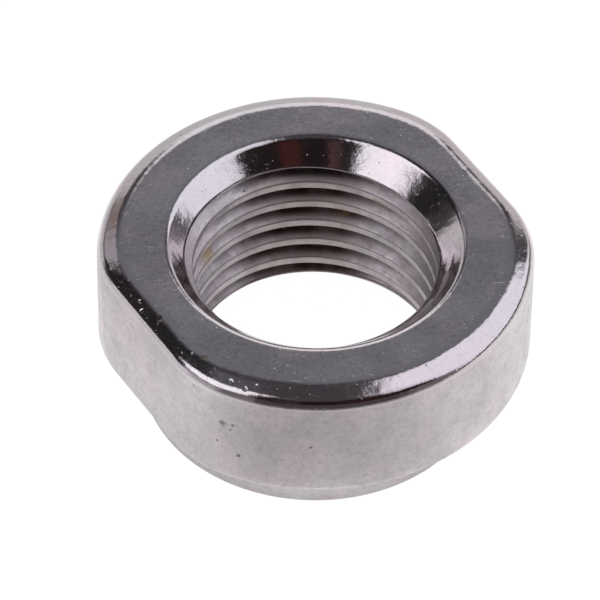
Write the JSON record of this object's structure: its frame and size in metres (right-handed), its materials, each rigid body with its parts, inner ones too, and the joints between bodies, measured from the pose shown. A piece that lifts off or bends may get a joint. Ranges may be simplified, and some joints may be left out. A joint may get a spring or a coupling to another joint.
{
  "type": "lock nut",
  "caption": "Round lock nut with a fine-threaded bore, two blended wrench flats, a chamfered locating face and a round spigot on its seat.",
  "frame": {"origin": "centre of the spigot's end face, on the bore axis, at the bottom of the nut", "axes": "+Z along the bore axis towards the wide chamfered face; the two wrench flats face +X and -X; +Y is the full round diameter"},
  "size_m": [0.0148, 0.016, 0.0072],
  "materials": {
    "plated_steel": "nickel-chrome plated steel: satin side and face, mirror-bright chamfer and countersink, small pits and scratches"
  },
  "bodies": {
    "root": {"lock_nut": "plated_steel"}
  },
  "joints": []
}
